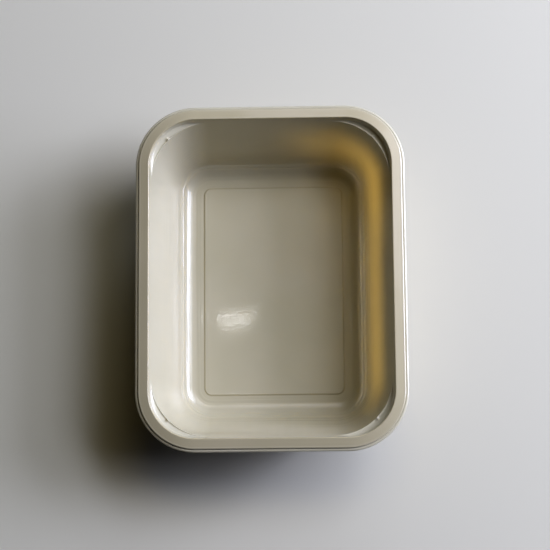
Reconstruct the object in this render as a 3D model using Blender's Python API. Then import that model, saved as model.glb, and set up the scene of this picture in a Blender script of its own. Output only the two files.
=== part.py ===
"""Airline meal tray, empty: one smooth-walled dish pressed from a sheet of lacquered aluminium.

The dish lies on its base, open side up. Z = 0 is the surface it stands on, X runs across the
dish and Y along it. All sizes are in metres.

Every level of the dish is a rounded rectangle. A section of the dish is therefore a row of
levels (inset from the face's outer edge, height below the face, corner sum), where the corner
radius of a level is its corner sum less its inset.
"""
import math

import bmesh
import bpy

# Flange: the flat face that a lid seals on, its turned-down edge and the rolled bead
FACE_WIDTH = 0.1176
FACE_LENGTH = 0.1526
FACE_BAND = 0.0039
FACE_CORNER_SUM = 0.0250
LIP_BEND = 0.0008
EDGE_BEND = 0.0008
BEAD_RADIUS = 0.00085
BEAD_OUT = 0.00135
BEAD_DOWN = 0.0025

# Body: the sloping wall, the fillet and the floor with its raised panel
HEIGHT = 0.0460
SHEET = 0.0004
WALL_RUN = 0.0125
END_RUN = 0.0008
FLOOR_FILLET = 0.0082
PANEL_INSET = 0.0257
PANEL_STEP = 0.0005
PANEL_RISE = 0.0004
TOP_CORNER_SUM = 0.0312
FLOOR_CORNER_SUM = 0.0294

# Stacking ledge across each corner, just below the face
LEDGE_DEPTH = 0.0030
LEDGE_FALL = 0.0004
LEDGE_BEND = 0.0004

# Steps in a round corner of the outline, in a bend, in the floor fillet and round the bead
CORNER_STEPS = 16
BEND_STEPS = 3
FILLET_STEPS = 7
BEAD_STEPS = 9

FLOOR_DEPTH = HEIGHT - SHEET
WALL_SLOPE = math.atan(WALL_RUN / FLOOR_DEPTH)


def body_corner_sum(depth):
    """Corner sum of the wall and floor, which tightens a little towards the floor."""
    share = depth / FLOOR_DEPTH
    return TOP_CORNER_SUM + (FLOOR_CORNER_SUM - TOP_CORNER_SUM) * share


def wall_inset(depth):
    """Inset of the straight wall at a depth below the face."""
    return FACE_BAND + depth * math.tan(WALL_SLOPE)


def rounded(before, corner, after, reach, steps):
    """Levels of a bend that starts and ends at the reach from the corner level."""
    def towards(other):
        gap = math.dist(corner[:2], other[:2])
        return [c + (o - c) * min(reach / gap, 0.5) for c, o in zip(corner, other)]

    first = towards(before)
    last = towards(after)
    levels = []
    for step in range(steps + 1):
        t = step / steps
        weights = ((1 - t) ** 2, 2 * t * (1 - t), t ** 2)
        levels.append(tuple(
            weights[0] * a + weights[1] * b + weights[2] * c
            for a, b, c in zip(first, corner, last)))
    return levels


def inside_levels():
    """Levels of the face that food lies on, from the lid's face down to the floor's panel."""
    lip = (FACE_BAND, 0.0, FACE_CORNER_SUM)
    ledge_outer = (wall_inset(LEDGE_DEPTH), LEDGE_DEPTH, FACE_CORNER_SUM)
    ledge_depth = LEDGE_DEPTH + LEDGE_FALL
    ledge_inner = (wall_inset(ledge_depth), ledge_depth, body_corner_sum(ledge_depth))

    levels = [(0.0, 0.0, FACE_CORNER_SUM)]
    levels += rounded(levels[0], lip, ledge_outer, LIP_BEND, BEND_STEPS)
    levels += rounded(lip, ledge_outer, ledge_inner, LEDGE_BEND / 2, 1)

    turn = math.pi / 2 - WALL_SLOPE
    tangent = FLOOR_FILLET * math.tan(turn / 2)
    centre_inset = wall_inset(FLOOR_DEPTH) + tangent
    centre_depth = FLOOR_DEPTH - FLOOR_FILLET
    wall_end_depth = centre_depth + FLOOR_FILLET * math.sin(WALL_SLOPE)
    wall_end = (wall_inset(wall_end_depth), wall_end_depth, body_corner_sum(wall_end_depth))
    levels += rounded(ledge_outer, ledge_inner, wall_end, LEDGE_BEND, BEND_STEPS)

    for step in range(FILLET_STEPS + 1):
        angle = WALL_SLOPE + turn * step / FILLET_STEPS
        inset = centre_inset - FLOOR_FILLET * math.cos(angle)
        depth = centre_depth + FLOOR_FILLET * math.sin(angle)
        levels.append((inset, depth, body_corner_sum(depth)))

    levels.append((PANEL_INSET, FLOOR_DEPTH, FLOOR_CORNER_SUM))
    levels.append((PANEL_INSET + PANEL_STEP, FLOOR_DEPTH - PANEL_RISE, FLOOR_CORNER_SUM))
    return levels


def outside_levels(levels):
    """The same levels moved out by the sheet's thickness, each along its own normal."""
    moved = []
    for i, (inset, depth, corner_sum) in enumerate(levels):
        before = levels[max(i - 1, 0)]
        after = levels[min(i + 1, len(levels) - 1)]
        along_in = after[0] - before[0]
        along_down = after[1] - before[1]
        size = math.hypot(along_in, along_down)
        moved.append((inset - SHEET * along_down / size, depth + SHEET * along_in / size, corner_sum))
    moved[0] = (levels[0][0], SHEET, levels[0][2])
    moved[-2] = (moved[-2][0], FLOOR_DEPTH + SHEET, moved[-2][2])
    moved[-1] = (moved[-1][0], levels[-1][1] + SHEET, moved[-1][2])
    return moved


def edge_levels():
    """Levels of the turned-down edge and its bead, from the face round to the underside."""
    levels = []
    for step in range(1, BEND_STEPS + 1):
        angle = math.pi / 2 * step / BEND_STEPS
        levels.append((-EDGE_BEND * math.sin(angle), EDGE_BEND * (1 - math.cos(angle))))

    start = math.acos((EDGE_BEND - BEAD_OUT) / BEAD_RADIUS)
    for step in range(BEAD_STEPS + 1):
        angle = start - (start + math.pi) * step / BEAD_STEPS
        out = BEAD_OUT + BEAD_RADIUS * math.cos(angle)
        down = BEAD_DOWN - BEAD_RADIUS * math.sin(angle)
        levels.append((-out, down))

    inner_edge = EDGE_BEND - SHEET
    levels.append((-inner_edge, BEAD_DOWN - BEAD_RADIUS / 2))
    levels.append((-inner_edge, EDGE_BEND))
    levels.append((-inner_edge * 0.7, SHEET + inner_edge * 0.3))
    return [(inset, depth, FACE_CORNER_SUM) for inset, depth in levels]


def outline(inset, depth, corner_sum):
    """Points of one level: four round corners, with the straight sides between them."""
    half_width = FACE_WIDTH / 2 - inset
    half_length = FACE_LENGTH / 2 - inset - END_RUN * depth / FLOOR_DEPTH
    radius = corner_sum - inset
    points = []
    for quarter in range(4):
        side_x = 1 if quarter in (0, 3) else -1
        side_y = 1 if quarter in (0, 1) else -1
        for step in range(CORNER_STEPS + 1):
            angle = math.pi / 2 * (quarter + step / CORNER_STEPS)
            points.append((
                side_x * (half_width - radius) + radius * math.cos(angle),
                side_y * (half_length - radius) + radius * math.sin(angle),
                HEIGHT - depth))
    return points


def sweep(bm, levels):
    """Draw the first level, then extrude its edges from level to level; return the last loop."""
    place = bm.verts.layers.int.new("place")
    verts = []
    for index, point in enumerate(outline(*levels[0])):
        vert = bm.verts.new(point)
        vert[place] = index
        verts.append(vert)
    edges = [bm.edges.new((a, b)) for a, b in zip(verts, verts[1:] + verts[:1])]
    bm.faces.new(verts)

    for level in levels[1:]:
        points = outline(*level)
        made = bmesh.ops.extrude_edge_only(bm, edges=edges)["geom"]
        edges = [item for item in made if isinstance(item, bmesh.types.BMEdge)]
        verts = [item for item in made if isinstance(item, bmesh.types.BMVert)]
        for vert in verts:
            vert.co = points[vert[place]]
    return sorted(verts, key=lambda vert: vert[place])


def lacquer():
    """Ivory lacquer over aluminium, with a soft gloss."""
    material = bpy.data.materials.new("ivory_lacquer")
    material.use_nodes = True
    shader = material.node_tree.nodes["Principled BSDF"]
    shader.inputs["Base Color"].default_value = (0.60, 0.55, 0.43, 1.0)
    shader.inputs["Metallic"].default_value = 0.6
    shader.inputs["Roughness"].default_value = 0.28
    return material


def make_tray():
    """The pressed dish: floor, wall, ledges, face, bead and underside in one closed skin."""
    inside = inside_levels()
    outside = outside_levels(inside)
    levels = inside[::-1] + edge_levels() + outside

    bm = bmesh.new()
    last_loop = sweep(bm, levels)
    bm.faces.new(last_loop)
    bmesh.ops.recalc_face_normals(bm, faces=bm.faces[:])
    mesh = bpy.data.meshes.new("tray")
    bm.to_mesh(mesh)
    bm.free()
    mesh.shade_smooth()
    mesh.set_sharp_from_angle(angle=math.radians(40))
    mesh.materials.append(lacquer())

    tray = bpy.data.objects.new("tray", mesh)
    bpy.context.collection.objects.link(tray)
    return tray


for old in list(bpy.data.objects):
    bpy.data.objects.remove(old, do_unlink=True)

make_tray()
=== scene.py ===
"""Looks of an empty airline meal tray: a dish of lacquered aluminium on a plain pale floor."""
import math

import bmesh
import bpy
from mathutils import Matrix, Vector, noise


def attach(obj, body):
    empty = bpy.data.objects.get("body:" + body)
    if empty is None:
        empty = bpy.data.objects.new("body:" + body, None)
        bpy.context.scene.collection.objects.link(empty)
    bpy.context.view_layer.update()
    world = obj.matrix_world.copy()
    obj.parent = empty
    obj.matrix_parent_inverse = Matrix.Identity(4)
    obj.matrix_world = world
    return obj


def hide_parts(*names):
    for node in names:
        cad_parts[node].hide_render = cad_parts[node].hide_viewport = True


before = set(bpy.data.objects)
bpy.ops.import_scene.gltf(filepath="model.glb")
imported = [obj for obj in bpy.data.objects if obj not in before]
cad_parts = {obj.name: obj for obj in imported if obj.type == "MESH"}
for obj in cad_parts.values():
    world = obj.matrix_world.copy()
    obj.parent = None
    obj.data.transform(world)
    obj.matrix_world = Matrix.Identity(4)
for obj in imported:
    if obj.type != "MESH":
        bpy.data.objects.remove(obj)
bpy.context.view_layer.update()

# The dish. One blank of aluminium sheet, lacquered ivory, is drawn in one stroke into a smooth dish.
# Its edge stays a flat flange for the lid and is curled under into a bead. The punch leaves a raised
# floor, a low ring round the floor's fillet, and a dipped ledge with a small lug in each corner.
FACE_WIDTH = 0.1176
FACE_LENGTH = 0.1526
FACE_BAND = 0.0039
FACE_FALL = 0.0007
FACE_CORNER_SUM = 0.0250
LIP_BEND = 0.00045
EDGE_BEND = 0.0008
BEAD_RADIUS = 0.00085
BEAD_OUT = 0.00135
BEAD_DOWN = 0.0025
BEAD_ROOT_SHARE = 0.3

HEIGHT = 0.0460
SHEET = 0.0004
WALL_RUN = 0.0125
END_RUN = 0.0008
FLOOR_FILLET = 0.0082
RING_ANGLE = math.radians(38)
RING_WIDTH = 0.00042
RING_RISE = 0.00026
PANEL_INSET = 0.0257
PANEL_STEP = 0.0005
PANEL_RISE = 0.0004
PANEL_BEND = 0.00014
PANEL_EDGE = 0.0022
TOP_CORNER_SUM = 0.0312
FLOOR_CORNER_SUM = 0.0294

LEDGE_DEPTH = 0.0030
LEDGE_FALL = 0.0004
LEDGE_DIP = 0.00042
LEDGE_DIP_SHARE = 0.75
LEDGE_BEND = 0.00028
LEDGE_OUTER_BEND = LEDGE_BEND / 2
LEDGE_DIP_BEND = LEDGE_BEND / 8
LUG_X = 0.0461
LUG_Y = 0.0635
LUG_LENGTH = 0.0008
LUG_WIDTH = 0.00045
LUG_RISE = 0.0009
LUG_FOOT = 0.0005

WALL_SWAY = 0.00022
WALL_WAVE = 0.026
FLOOR_SWAY = 0.00009
FLOOR_WAVE = 0.036

# Steps round the dish, and how much closer together they stand at the middle of a corner.
CORNER_STEPS = 80
CORNER_CROWDING = 0.6
SIDE_STEPS = 22

# Steps down the dish, from the bead and the flange to the panel.
BEAD_STEPS = 18
BEND_STEPS = 7
FACE_STEPS = 6
LIP_STEPS = 5
LEDGE_STEPS = 7
DIP_STEPS = 3
LEDGE_INNER_STEPS = 4
WALL_STEPS = 16
FILLET_STEPS = 50
FLOOR_STEPS = 5
FOOT_STEPS = 3
TOP_STEPS = 4
PANEL_STEPS = 3
PANEL_CUTS = 30
SAME_PLACE = 0.000001
SHARP_ANGLE = math.radians(40)

FLOOR_DEPTH = HEIGHT - SHEET
WALL_SLOPE = math.atan(WALL_RUN / FLOOR_DEPTH)


def body_corner_sum(depth):
    """Corner sum of the wall and floor, which tightens a little towards the floor."""
    share = depth / FLOOR_DEPTH
    return TOP_CORNER_SUM + (FLOOR_CORNER_SUM - TOP_CORNER_SUM) * share


def wall_inset(depth):
    """Inset of the straight wall at a depth below the face."""
    return FACE_BAND + depth * math.tan(WALL_SLOPE)


def between(a, b, share):
    """The level at a share of the way from one level to another."""
    return tuple(p + (q - p) * share for p, q in zip(a, b))


def bend(before, corner, after, reach, steps):
    """Levels of a bend that starts and ends at the reach from the corner level."""
    first = between(corner, before, min(reach / math.dist(corner[:2], before[:2]), 0.5))
    last = between(corner, after, min(reach / math.dist(corner[:2], after[:2]), 0.5))
    levels = []
    for step in range(steps + 1):
        t = step / steps
        levels.append(between(between(first, corner, t), between(corner, last, t), t))
    return levels


def straight(a, b, steps):
    """Levels between two others, closer together near both ends, where the bends are."""
    shares = [step / steps for step in range(1, steps)]
    return [between(a, b, t * t * (3 - 2 * t)) for t in shares]


def press_ring(angle):
    """Height of the low ring that the punch leaves half-way down the floor's fillet."""
    from_ring = (angle - RING_ANGLE) * FLOOR_FILLET / RING_WIDTH
    return RING_RISE * math.exp(-from_ring ** 2 / 2)


def inside_levels():
    """Levels of the upper skin, from the flange's outer edge to just inside the floor's step.

    A level is its inset, its depth, its corner sum and how much deeper its corners are. The corner
    sum less the inset is the radius of its corners.
    """
    outer = (0.0, FACE_FALL, FACE_CORNER_SUM, 0.0)
    lip = (FACE_BAND, 0.0, FACE_CORNER_SUM, 0.0)
    ledge_outer = (wall_inset(LEDGE_DEPTH), LEDGE_DEPTH, FACE_CORNER_SUM, 0.0)
    ledge_depth = LEDGE_DEPTH + LEDGE_FALL
    ledge_inner = (wall_inset(ledge_depth), ledge_depth, body_corner_sum(ledge_depth), 0.0)
    ledge_dip = between(ledge_outer, ledge_inner, LEDGE_DIP_SHARE)[:3] + (LEDGE_DIP,)

    turn = math.pi / 2 - WALL_SLOPE
    centre_inset = wall_inset(FLOOR_DEPTH) + FLOOR_FILLET * math.tan(turn / 2)
    centre_depth = FLOOR_DEPTH - FLOOR_FILLET
    fillet = []
    for step in range(FILLET_STEPS + 1):
        angle = WALL_SLOPE + turn * step / FILLET_STEPS
        radius = FLOOR_FILLET - press_ring(angle)
        inset = centre_inset - radius * math.cos(angle)
        depth = centre_depth + radius * math.sin(angle)
        fillet.append((inset, depth, body_corner_sum(depth), 0.0))

    step_foot = (PANEL_INSET, FLOOR_DEPTH, FLOOR_CORNER_SUM, 0.0)
    step_top = (PANEL_INSET + PANEL_STEP, FLOOR_DEPTH - PANEL_RISE, FLOOR_CORNER_SUM, 0.0)
    panel = (PANEL_INSET + PANEL_EDGE, FLOOR_DEPTH - PANEL_RISE, FLOOR_CORNER_SUM, 0.0)

    lip_bend = bend(outer, lip, ledge_outer, LIP_BEND, BEND_STEPS)
    ledge = bend(lip, ledge_outer, ledge_dip, LEDGE_OUTER_BEND, BEND_STEPS)
    dip_bend = bend(ledge_outer, ledge_dip, ledge_inner, LEDGE_DIP_BEND, DIP_STEPS)
    inner_bend = bend(ledge_dip, ledge_inner, fillet[0], LEDGE_BEND, BEND_STEPS)
    ledge += straight(ledge[-1], dip_bend[0], LEDGE_STEPS) + dip_bend
    ledge += straight(dip_bend[-1], inner_bend[0], LEDGE_INNER_STEPS) + inner_bend
    step_bends = bend(fillet[-1], step_foot, step_top, PANEL_BEND, FOOT_STEPS)
    step_bends += bend(step_foot, step_top, panel, PANEL_BEND, TOP_STEPS)

    levels = [outer] + straight(outer, lip_bend[0], FACE_STEPS) + lip_bend
    levels += straight(lip_bend[-1], ledge[0], LIP_STEPS) + ledge
    levels += straight(ledge[-1], fillet[0], WALL_STEPS) + fillet
    levels += straight(fillet[-1], step_bends[0], FLOOR_STEPS) + step_bends
    levels += straight(step_bends[-1], panel, PANEL_STEPS) + [panel]
    return levels


def outside_levels(levels):
    """The same levels moved out by the sheet's thickness, each along its own normal."""
    moved = []
    for i, (inset, depth, corner_sum, corner_drop) in enumerate(levels):
        before = levels[max(i - 1, 0)]
        after = levels[min(i + 1, len(levels) - 1)]
        along_in = after[0] - before[0]
        along_down = after[1] - before[1]
        size = math.hypot(along_in, along_down)
        inset -= SHEET * along_down / size
        depth += SHEET * along_in / size
        moved.append((inset, depth, corner_sum, corner_drop))
    moved[0] = (levels[0][0], FACE_FALL + SHEET, levels[0][2], 0.0)
    return moved


def edge_levels():
    """Levels of the turned-down edge and its bead, from the face round to the underside."""
    levels = []
    for step in range(1, BEND_STEPS + 1):
        angle = math.pi / 2 * step / BEND_STEPS
        down = FACE_FALL + (EDGE_BEND - FACE_FALL / 2) * (1 - math.cos(angle))
        levels.append((-EDGE_BEND * math.sin(angle), down))

    start = math.acos((EDGE_BEND - BEAD_OUT) / BEAD_RADIUS)
    for step in range(BEAD_STEPS + 1):
        angle = start - (start + math.pi) * step / BEAD_STEPS
        out = BEAD_OUT + BEAD_RADIUS * math.cos(angle)
        down = BEAD_DOWN - BEAD_RADIUS * math.sin(angle)
        levels.append((-out, down))

    inner_edge = EDGE_BEND - SHEET
    levels.append((-inner_edge, BEAD_DOWN - BEAD_RADIUS / 2))
    levels.append((-inner_edge, EDGE_BEND + FACE_FALL))
    root_down = SHEET + FACE_FALL + inner_edge * BEAD_ROOT_SHARE
    levels.append((-inner_edge * (1 - BEAD_ROOT_SHARE), root_down))
    return [(inset, depth, FACE_CORNER_SUM, 0.0) for inset, depth in levels]


def wall_sway(point, depth):
    """How far the sheet stands off the true wall: nothing at the rim and at the floor."""
    share = min(max((depth - LEDGE_DEPTH) / (FLOOR_DEPTH - LEDGE_DEPTH), 0.0), 1.0)
    return WALL_SWAY * math.sin(math.pi * share) * noise.noise(point / WALL_WAVE)


def lug(point, depth):
    """Height that the small lug on the corner's ledge adds at a point; it fades down the wall."""
    from_lug = Vector((abs(point.x) - LUG_X, abs(point.y) - LUG_Y))
    diagonal = Vector((1.0, 1.0)).normalized()
    along = from_lug.dot(diagonal) / LUG_LENGTH
    across = from_lug.cross(diagonal) / LUG_WIDTH
    below_ledge = max(depth - LEDGE_DEPTH - LEDGE_FALL, 0.0) / LUG_FOOT
    return LUG_RISE * math.exp(-(along ** 2 + across ** 2) / 2 - below_ledge)


def outline(inset, depth, corner_sum, corner_drop):
    """Points of one level: four round corners, each followed by a straight side."""
    half_width = FACE_WIDTH / 2 - inset
    half_length = FACE_LENGTH / 2 - inset - END_RUN * depth / FLOOR_DEPTH
    radius = corner_sum - inset
    arcs = []
    for quarter in range(4):
        side_x = 1 if quarter in (0, 3) else -1
        side_y = 1 if quarter in (0, 1) else -1
        centre_x = side_x * (half_width - radius)
        centre_y = side_y * (half_length - radius)
        centre = Vector((centre_x, centre_y, HEIGHT - depth))
        arc = []
        for step in range(CORNER_STEPS + 1):
            share = step / CORNER_STEPS
            share += CORNER_CROWDING * math.sin(2 * math.pi * share) / (2 * math.pi)
            angle = math.pi / 2 * (quarter + share)
            outwards = Vector((math.cos(angle), math.sin(angle), 0.0))
            towards_diagonal = (abs(outwards.x) + abs(outwards.y) - 1) / (math.sqrt(2) - 1)
            drop = Vector((0.0, 0.0, corner_drop * towards_diagonal))
            arc.append((centre + outwards * radius - drop, outwards))
        arcs.append(arc)

    points = []
    for quarter, arc in enumerate(arcs):
        end, outwards = arc[-1]
        following = arcs[(quarter + 1) % 4][0][0]
        side = [(end.lerp(following, step / SIDE_STEPS), outwards) for step in range(1, SIDE_STEPS)]
        for point, outwards in arc + side:
            point = point + outwards * wall_sway(point, depth)
            point.z += lug(point, depth)
            points.append(point)
    return points


def sweep(bm, levels):
    """Draw the first level, then extrude its edges from level to level; return the last loop."""
    place = bm.verts.layers.int.new("place")
    drawn = bm.verts.layers.float.new("drawn")
    verts = []
    for index, point in enumerate(outline(*levels[0])):
        vert = bm.verts.new(point)
        vert[place] = index
        verts.append(vert)
    edges = [bm.edges.new((a, b)) for a, b in zip(verts, verts[1:] + verts[:1])]
    bm.faces.new(verts)

    distance = 0.0
    for before, level in zip(levels, levels[1:]):
        distance += math.dist(before[:2], level[:2])
        points = outline(*level)
        made = bmesh.ops.extrude_edge_only(bm, edges=edges)["geom"]
        edges = [item for item in made if isinstance(item, bmesh.types.BMEdge)]
        verts = [item for item in made if isinstance(item, bmesh.types.BMVert)]
        for vert in verts:
            vert.co = points[vert[place]]
            vert[drawn] = distance
    return sorted(verts, key=lambda vert: vert[place])


def lay_out(bm):
    """UV map of the drawn sheet: distance round the dish and distance along its section."""
    place = bm.verts.layers.int["place"]
    drawn = bm.verts.layers.float["drawn"]
    sheet = bm.loops.layers.uv.new("sheet")
    ring = outline(0.0, 0.0, FACE_CORNER_SUM, 0.0)
    round_to = [0.0]
    for a, b in zip(ring, ring[1:] + ring[:1]):
        round_to.append(round_to[-1] + (b - a).length)
    for face in bm.faces:
        if len(face.verts) > 4:
            continue
        places = [loop.vert[place] for loop in face.loops]
        over_seam = max(places) - min(places) > 1
        for loop, index in zip(face.loops, places):
            if over_seam and index == 0:
                index = len(ring)
            loop[sheet].uv = (round_to[index], loop.vert[drawn])


def once_each(items):
    """The items in their first order, each of them once."""
    return list(dict.fromkeys(items))


def divide_panel(bm):
    """Cut the panel's upper and lower face into small squares, and let the sheet sway there."""
    panel_layer = bm.faces.layers.int.new("panel")
    for face in bm.faces:
        face[panel_layer] = int(len(face.verts) > 4)
    half_width = FACE_WIDTH / 2 - PANEL_INSET - PANEL_EDGE
    half_length = FACE_LENGTH / 2 - PANEL_INSET - PANEL_EDGE - END_RUN
    across_dish = Vector((1.0, 0.0, 0.0))
    along_dish = Vector((0.0, 1.0, 0.0))
    for direction, half in ((across_dish, half_width), (along_dish, half_length)):
        for cut in range(1, PANEL_CUTS):
            faces = [face for face in bm.faces if face[panel_layer]]
            edges = once_each(edge for face in faces for edge in face.edges)
            verts = once_each(vert for face in faces for vert in face.verts)
            bmesh.ops.bisect_plane(
                bm, geom=faces + edges + verts, dist=SAME_PLACE,
                plane_co=direction * half * (2 * cut / PANEL_CUTS - 1), plane_no=direction)

    faces = [face for face in bm.faces if face[panel_layer]]
    for vert in once_each(vert for face in faces for vert in face.verts):
        across = max(1 - (vert.co.x / half_width) ** 2, 0.0)
        along = max(1 - (vert.co.y / half_length) ** 2, 0.0)
        wave = noise.noise(Vector((vert.co.x, vert.co.y, 0.0)) / FLOOR_WAVE)
        vert.co.z += FLOOR_SWAY * across * along * wave


inside = inside_levels()
outside = outside_levels(inside)
# The outer skin takes every second level of the upper one.
tray_levels = inside[::-1] + edge_levels() + outside[:-1:2] + outside[-1:]

bm = bmesh.new()
last_loop = sweep(bm, tray_levels)
bm.faces.new(last_loop)
lay_out(bm)
divide_panel(bm)
bmesh.ops.recalc_face_normals(bm, faces=bm.faces[:])
tray_mesh = bpy.data.meshes.new("tray_fine")
bm.to_mesh(tray_mesh)
bm.free()
tray_mesh.shade_smooth()
tray_mesh.set_sharp_from_angle(angle=SHARP_ANGLE)
tray = bpy.data.objects.new("tray_fine", tray_mesh)
bpy.context.scene.collection.objects.link(tray)

# The lacquer is ivory with a clear gloss on top. On the flange its colour carries painted warm
# light and shade, and a painted shade darkens the fine crease round the floor's panel. The drawing
# leaves faint lines round the wall and down it, and the coat dries with a fine peel.
IVORY = (0.540, 0.490, 0.348, 1.0)
IVORY_DEEP = (0.508, 0.462, 0.321, 1.0)
BLOTCH_SCALE = 26.0
BLOTCH_LOW = 0.35
BLOTCH_HIGH = 0.65
# Painted warm light and shade: this tint makes the flange's colour darker and warmer.
FLANGE_PAINTED_LIGHT = (0.87, 0.83, 0.75, 1.0)
FLANGE_LIGHT_FROM = HEIGHT - 0.0012
FLANGE_LIGHT_FULL = HEIGHT - 0.0006
# Painted shade: this tint darkens the colour in the fine crease round the floor's panel.
CREASE_PAINTED_SHADE = (0.84, 0.81, 0.76, 1.0)
CREASE_AT = PANEL_EDGE - PANEL_STEP / 2
CREASE_HALF = 0.0006

NOISE_LOW = 0.3
NOISE_HIGH = 0.7
SMOOTHEST = 0.30
DULLEST = 0.36
LINE_DULLING = 0.02
COAT_DULLNESS = 0.035
ALUMINIUM_SHOWING = 0.15

# The relief's heights are in thousandths of a millimetre.
RELIEF_UNIT = 0.000001
PEEL_SCALE = 850.0
PEEL_HEIGHT = 5.0
FLOOR_PEEL_HEIGHT = 8.0
FLOOR_PEEL_TO = 0.0006
WALL_PEEL_FROM = 0.0020
SECTION_LINES = 620.0
SECTION_STRETCH = (0.012, 1.0, 1.0)
SECTION_HEIGHT = 160.0
SECTION_FULL_TO = 0.016
SECTION_FAINT_FROM = 0.032
SECTION_FAINT = 0.1
DRAW_LINES = 300.0
DRAW_STRETCH = (1.0, 0.05, 1.0)
DRAW_HEIGHT = 2.0

lacquer = bpy.data.materials.new("ivory_lacquer")
lacquer.use_nodes = True
nodes = lacquer.node_tree.nodes
links = lacquer.node_tree.links
shader = nodes["Principled BSDF"]
shader.inputs["Coat Weight"].default_value = 1.0
shader.inputs["Coat Roughness"].default_value = COAT_DULLNESS
shader.inputs["Metallic"].default_value = ALUMINIUM_SHOWING

solid_place = nodes.new("ShaderNodeTexCoord").outputs["Object"]
sheet_map = nodes.new("ShaderNodeUVMap")
sheet_map.uv_map = "sheet"
sheet_place = sheet_map.outputs["UV"]


def speckle(name, place, scale, detail, stretch=(1.0, 1.0, 1.0)):
    """Noise over the solid or along the drawn sheet, stretched where the lines run."""
    stretched = nodes.new("ShaderNodeVectorMath")
    stretched.operation = "MULTIPLY"
    stretched.inputs[1].default_value = stretch
    links.new(place, stretched.inputs[0])
    texture = nodes.new("ShaderNodeTexNoise")
    texture.name = name
    texture.inputs["Scale"].default_value = scale
    texture.inputs["Detail"].default_value = detail
    texture.inputs["Roughness"].default_value = 0.5
    links.new(stretched.outputs["Vector"], texture.inputs["Vector"])
    return texture.outputs["Fac"]


def spread(value, low, high, new_low, new_high):
    """The value with one range laid over another, kept inside it."""
    ranged = nodes.new("ShaderNodeMapRange")
    ranged.inputs["From Min"].default_value = low
    ranged.inputs["From Max"].default_value = high
    ranged.inputs["To Min"].default_value = new_low
    ranged.inputs["To Max"].default_value = new_high
    links.new(value, ranged.inputs["Value"])
    return ranged.outputs["Result"]


def mixed(share, first, second):
    """Two colours, or a socket and a colour, mixed by a share."""
    mix = nodes.new("ShaderNodeMix")
    mix.data_type = "RGBA"
    links.new(share, mix.inputs["Factor"])
    for socket, colour in ((mix.inputs["A"], first), (mix.inputs["B"], second)):
        if isinstance(colour, tuple):
            socket.default_value = colour
        else:
            links.new(colour, socket)
    return mix.outputs["Result"]


def tinted(share, colour, tint):
    """A colour multiplied by a tint, as far as the share says."""
    mix = nodes.new("ShaderNodeMix")
    mix.data_type = "RGBA"
    mix.blend_type = "MULTIPLY"
    links.new(share, mix.inputs["Factor"])
    links.new(colour, mix.inputs["A"])
    mix.inputs["B"].default_value = tint
    return mix.outputs["Result"]


def total(first, second):
    """Sum of two values."""
    added = nodes.new("ShaderNodeMath")
    added.operation = "ADD"
    links.new(first, added.inputs[0])
    links.new(second, added.inputs[1])
    return added.outputs["Value"]


def product(first, second):
    """One value times another."""
    times = nodes.new("ShaderNodeMath")
    times.operation = "MULTIPLY"
    links.new(first, times.inputs[0])
    links.new(second, times.inputs[1])
    return times.outputs["Value"]


blotches = speckle("blotches", solid_place, BLOTCH_SCALE, 2.0)
peel = speckle("peel", solid_place, PEEL_SCALE, 1.0)
section_lines = speckle("section_lines", sheet_place, SECTION_LINES, 2.0, SECTION_STRETCH)
draw_lines = speckle("draw_lines", sheet_place, DRAW_LINES, 2.0, DRAW_STRETCH)

solid_parts = nodes.new("ShaderNodeSeparateXYZ")
links.new(solid_place, solid_parts.inputs["Vector"])
height_on_dish = solid_parts.outputs["Z"]
sheet_parts = nodes.new("ShaderNodeSeparateXYZ")
links.new(sheet_place, sheet_parts.inputs["Vector"])
from_panel = sheet_parts.outputs["Y"]

# Mask of the painted warm light and shade on the flange, by height on the dish.
flange_painted_light = spread(height_on_dish, FLANGE_LIGHT_FROM, FLANGE_LIGHT_FULL, 0.0, 1.0)
# Mask of the painted shade in the crease round the panel, by distance along the drawn sheet.
up_to_crease = spread(from_panel, CREASE_AT - CREASE_HALF, CREASE_AT, 0.0, 1.0)
past_crease = spread(from_panel, CREASE_AT, CREASE_AT + CREASE_HALF, 1.0, 0.0)
crease_painted_shade = product(up_to_crease, past_crease)
ivory = mixed(spread(blotches, BLOTCH_LOW, BLOTCH_HIGH, 0.0, 1.0), IVORY, IVORY_DEEP)
# Painted warm light and shade on the flange.
ivory = tinted(flange_painted_light, ivory, FLANGE_PAINTED_LIGHT)
# Painted shade in the crease round the floor's panel.
ivory = tinted(crease_painted_shade, ivory, CREASE_PAINTED_SHADE)
links.new(ivory, shader.inputs["Base Color"])

cloudy = spread(blotches, NOISE_LOW, NOISE_HIGH, SMOOTHEST, DULLEST)
lined = spread(draw_lines, NOISE_LOW, NOISE_HIGH, -LINE_DULLING, LINE_DULLING)
roughness = total(cloudy, lined)
links.new(roughness, shader.inputs["Roughness"])

lower_wall = spread(height_on_dish, SECTION_FULL_TO, SECTION_FAINT_FROM, 1.0, SECTION_FAINT)
pressed = product(spread(section_lines, 0.0, 1.0, 0.0, SECTION_HEIGHT), lower_wall)
peel_height = spread(height_on_dish, FLOOR_PEEL_TO, WALL_PEEL_FROM, FLOOR_PEEL_HEIGHT, PEEL_HEIGHT)
height = total(product(peel, peel_height), pressed)
height = total(height, spread(draw_lines, 0.0, 1.0, 0.0, DRAW_HEIGHT))
relief = nodes.new("ShaderNodeBump")
relief.inputs["Strength"].default_value = 1.0
relief.inputs["Distance"].default_value = RELIEF_UNIT
links.new(height, relief.inputs["Height"])
links.new(relief.outputs["Normal"], shader.inputs["Normal"])
links.new(relief.outputs["Normal"], shader.inputs["Coat Normal"])

tray_mesh.materials.append(lacquer)
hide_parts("tray")
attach(tray, "root")

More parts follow.
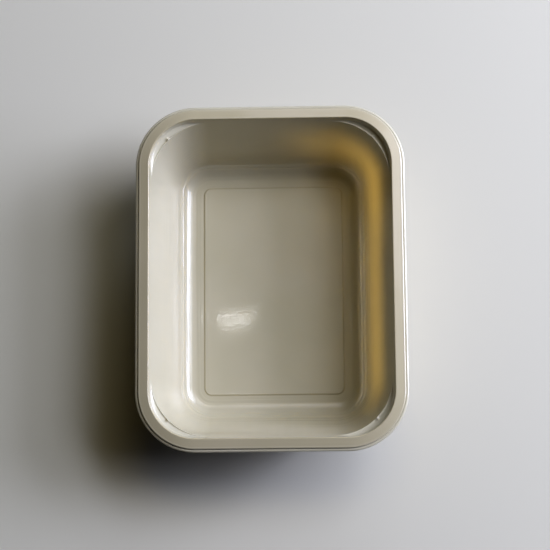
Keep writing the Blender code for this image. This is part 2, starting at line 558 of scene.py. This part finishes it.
# The floor: one plain pale board, painted matt, wide enough to fill every view. It lies a hair
# under the dish, so that the two never share a plane.
FLOOR_SIZE = 6.0
FLOOR_LEVEL = -0.0002
PALE_BOARD = (0.51, 0.475, 0.368, 1.0)
BOARD_DULLNESS = 0.8
bm = bmesh.new()
bmesh.ops.create_grid(bm, x_segments=1, y_segments=1, size=FLOOR_SIZE / 2)
bmesh.ops.translate(bm, verts=bm.verts[:], vec=(0.0, 0.0, FLOOR_LEVEL))
floor_mesh = bpy.data.meshes.new("studio_floor")
bm.to_mesh(floor_mesh)
bm.free()
floor = bpy.data.objects.new("studio_floor", floor_mesh)
bpy.context.scene.collection.objects.link(floor)
board = bpy.data.materials.new("pale_board")
board.use_nodes = True
paint = board.node_tree.nodes["Principled BSDF"]
paint.inputs["Base Color"].default_value = PALE_BOARD
paint.inputs["Roughness"].default_value = BOARD_DULLNESS
floor_mesh.materials.append(board)

# The studio: a room that looks pale to the camera but gives little light, large soft boxes to the
# right of the dish, and weaker ones behind and over it.
ROOM_LIGHT = (0.006, 0.006, 0.006, 1.0)
ROOM_WALL = (0.42, 0.42, 0.41, 1.0)
AIM_LEVEL = 0.03
world = bpy.data.worlds.new("studio_room")
bpy.context.scene.world = world
world.use_nodes = True
room = world.node_tree.nodes["Background"]
seen = world.node_tree.nodes.new("ShaderNodeLightPath")
room_mix = world.node_tree.nodes.new("ShaderNodeMix")
room_mix.data_type = "RGBA"
room_mix.inputs["A"].default_value = ROOM_LIGHT
room_mix.inputs["B"].default_value = ROOM_WALL
world.node_tree.links.new(seen.outputs["Is Camera Ray"], room_mix.inputs["Factor"])
world.node_tree.links.new(room_mix.outputs["Result"], room.inputs["Color"])


def panel_light(name, width, height, radiance, in_gloss):
    """A rectangular light that the camera doesn't see, by its radiance in red, green and blue."""
    lamp = bpy.data.lights.new(name, "AREA")
    lamp.shape = "RECTANGLE"
    lamp.size = width
    lamp.size_y = height
    strongest = max(radiance)
    lamp.energy = strongest * math.pi * width * height
    lamp.color = [share / strongest for share in radiance]
    box = bpy.data.objects.new(name, lamp)
    box.visible_camera = False
    box.visible_glossy = in_gloss
    bpy.context.scene.collection.objects.link(box)
    return box


def soft_box(name, azimuth, elevation, distance, width, height, radiance, in_gloss):
    """A panel light that faces the dish from an azimuth (0 is +X, 90 is +Y) and elevation."""
    box = panel_light(name, width, height, radiance, in_gloss)
    towards = Vector((
        math.cos(math.radians(elevation)) * math.cos(math.radians(azimuth)),
        math.cos(math.radians(elevation)) * math.sin(math.radians(azimuth)),
        math.sin(math.radians(elevation))))
    box.location = towards * distance + Vector((0.0, 0.0, AIM_LEVEL))
    box.rotation_euler = towards.to_track_quat("Z", "Y").to_euler()
    return box


soft_box("key_low", 12.0, 21.0, 1.5, 0.90, 0.40, (8.1, 8.9, 13.2), in_gloss=True)
key = soft_box("key", 24.0, 36.0, 1.5, 1.00, 0.60, (2.35, 2.55, 3.4), in_gloss=True)
key.data.shape = "ELLIPSE"
soft_box("key_near", 15.0, 33.0, 1.5, 0.50, 0.34, (11.4, 12.5, 17.4), in_gloss=False)
soft_box("key_high", 27.0, 54.0, 1.3, 1.10, 0.30, (6.5, 7.1, 9.5), in_gloss=False)
soft_box("back_side", 74.0, 26.0, 1.4, 0.60, 0.50, (2.6, 3.0, 4.0), in_gloss=False)
soft_box("top_fill", 70.0, 67.0, 1.3, 0.70, 0.36, (1.7, 1.45, 0.5), in_gloss=False)
soft_box("top_sheen", 62.0, 63.0, 1.3, 0.90, 0.34, (0.8, 0.8, 1.0), in_gloss=True)

# A small bare lamp high over the far left of the dish leaves a slanting highlight on its floor, and
# a weaker one beside it gives the highlight its haze. Both shine straight down.
LAMP_X = -0.0697
LAMP_LEVEL = 1.019
LAMP_TURN = math.radians(14)


def bare_lamp(name, y, width, height, radiance):
    """A small lamp over the left side of the dish, turned to slant."""
    lamp = panel_light(name, width, height, radiance, True)
    lamp.location = Vector((LAMP_X, y, LAMP_LEVEL))
    lamp.rotation_euler = (0.0, 0.0, LAMP_TURN)


bare_lamp("small_lamp", 0.1210, 0.030, 0.007, (9.0, 9.0, 9.0))
bare_lamp("lamp_haze", 0.1130, 0.028, 0.016, (1.2, 1.2, 1.2))

# Two narrow warm lights just over the dish give the lower part of the right wall, and its far
# corner, the gold that the photograph shows as a reflection there.
GLOW_WIDTH = 0.006
GLOW_SPREAD = math.radians(22)


def wall_glow(name, place, aim, length, radiance):
    """A narrow warm light over the dish's left side, which reaches the lower part of one wall."""
    glow = panel_light(name, length, GLOW_WIDTH, radiance, False)
    glow.location = Vector(place)
    glow.rotation_euler = (glow.location - Vector(aim)).to_track_quat("Z", "Y").to_euler()
    glow.data.spread = GLOW_SPREAD


wall_glow("wall_glow", (-0.035, 0.0, 0.075), (0.047, 0.0, 0.0186), 0.110, (2.3, 1.66, 0.58))
wall_glow("corner_glow", (-0.022, -0.020, 0.075), (0.043, 0.060, 0.0190), 0.050, (1.5, 1.08, 0.38))

# The camera looks down into the dish from a little towards its near end, slightly rolled. Its place
# and focal length were fitted to the edges of the flange and of the floor's panel in the photograph.
IMAGE_SIZE = 550
FOCAL_PIXELS = 1694.0
CAMERA_PLACE = Vector((0.0236, -0.1165, 0.7949))
CAMERA_AIM = Vector((0.00128, 0.00387, 0.0230))
CAMERA_UP = Vector((0.0130, 0.9880, 0.1537))
SENSOR_WIDTH = 36.0
NEAR_LIMIT = 0.01
lens = bpy.data.cameras.new("camera")
lens.sensor_width = SENSOR_WIDTH
lens.lens = FOCAL_PIXELS / IMAGE_SIZE * SENSOR_WIDTH
lens.clip_start = NEAR_LIMIT
lens.dof.use_dof = False
camera = bpy.data.objects.new("camera", lens)
back = (CAMERA_PLACE - CAMERA_AIM).normalized()
right = CAMERA_UP.cross(back).normalized()
up = back.cross(right)
camera.matrix_world = Matrix.Translation(CAMERA_PLACE) @ Matrix((right, up, back)).transposed().to_4x4()
bpy.context.scene.collection.objects.link(camera)
bpy.context.scene.camera = camera
bpy.context.scene.view_settings.view_transform = "Standard"
bpy.context.scene.view_settings.look = "High Contrast"
